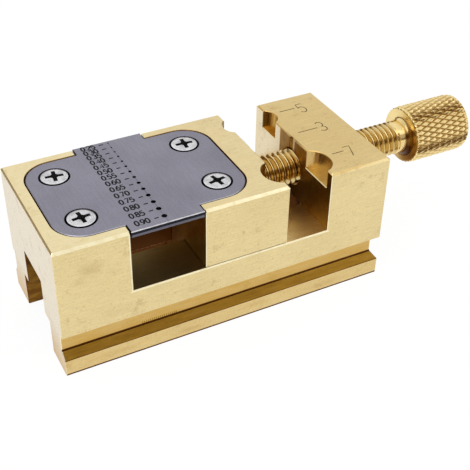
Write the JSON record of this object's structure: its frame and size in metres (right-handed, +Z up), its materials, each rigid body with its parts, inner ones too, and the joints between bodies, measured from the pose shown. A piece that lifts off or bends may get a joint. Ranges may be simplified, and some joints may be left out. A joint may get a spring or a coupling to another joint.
{
  "type": "hand vise",
  "caption": "Small brass hand vise: sliding jaw with steel gauge plates on a slotted block, half-round seats and a knurled thumb screw.",
  "frame": {"origin": "under the middle of the whole closed vise, on the surface that it stands on", "axes": "+X from the fixed block to the knob along the screw, -Y to the front, +Z up out of the gauge plates"},
  "size_m": [0.0804, 0.025, 0.0239],
  "materials": {
    "milled_brass": "fine milled, satin",
    "turned_brass": "turned and knurled, bright",
    "plate_steel": "blue-grey ground steel, matt",
    "bright_screw": "bright plated",
    "dark_steel": "oiled dark steel"
  },
  "bodies": {
    "base": {"vise_body": "milled_brass", "scale_plate": "plate_steel", "scale_plate_screw_front": "bright_screw", "scale_plate_screw_rear": "bright_screw"},
    "jaw": {"moving_jaw": "milled_brass", "jaw_keeper": "milled_brass", "keeper_screw_1": "dark_steel", "keeper_screw_2": "dark_steel", "clamp_plate": "plate_steel", "clamp_plate_screw_front": "bright_screw", "clamp_plate_screw_rear": "bright_screw", "journal_set_screw": "dark_steel"},
    "screw": {"thumb_screw": "turned_brass"}
  },
  "joints": [
    {"name": "jaw_slide", "type": "slide", "parent": "base", "child": "jaw", "axis": [1, 0, 0], "range_m": [0, 0.0073]},
    {"name": "screw_turn", "type": "hinge", "parent": "jaw", "child": "screw", "pos_m": [0, 0, 0.0182], "axis": [1, 0, 0], "range_deg": [0, 2628]}
  ],
  "couplings": [
    {"joint": "screw_turn", "follows": "jaw_slide", "rad_per_m": 6283.2}
  ]
}
